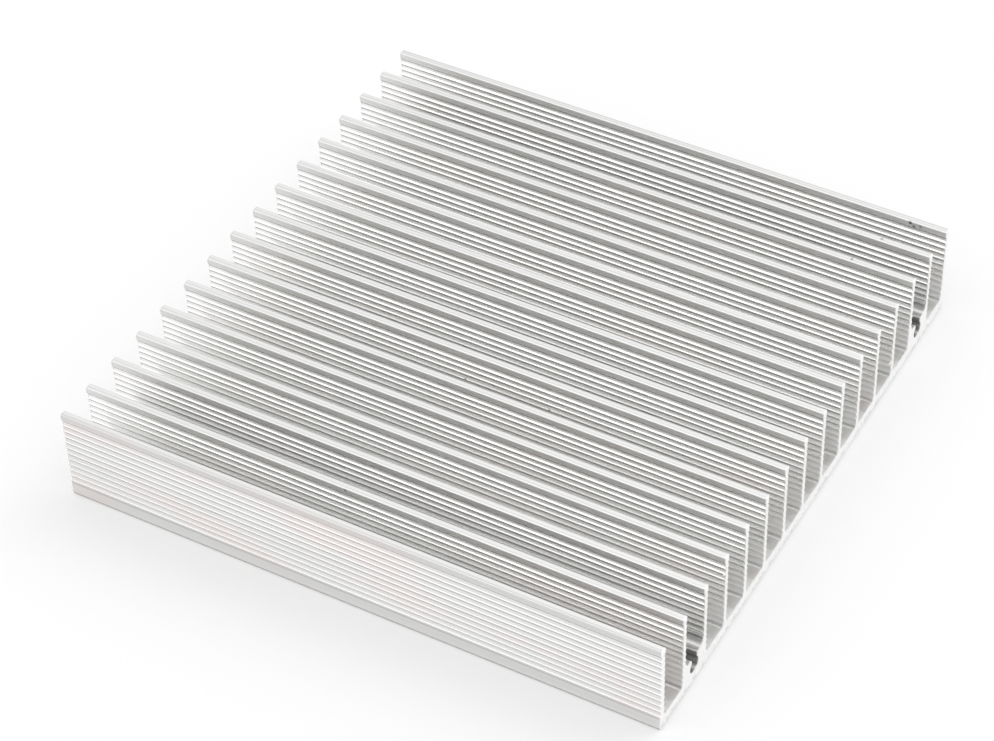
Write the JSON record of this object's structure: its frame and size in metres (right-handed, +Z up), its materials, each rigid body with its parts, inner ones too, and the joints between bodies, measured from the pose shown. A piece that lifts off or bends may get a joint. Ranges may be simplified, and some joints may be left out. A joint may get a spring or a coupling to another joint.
{
  "type": "extruded heat sink",
  "caption": "Flat-based extruded aluminium heat sink with finely ribbed straight fins and C-shaped screw ports along its length.",
  "frame": {"origin": "middle of the underside", "axes": "+X along the fins, +Y across them, +Z up from the underside to the fin tips"},
  "size_m": [0.09, 0.09, 0.015],
  "materials": {
    "aluminium": "plain mill finish, satin, with bright saw-cut ends"
  },
  "bodies": {
    "root": {"heat_sink": "aluminium"}
  },
  "joints": []
}
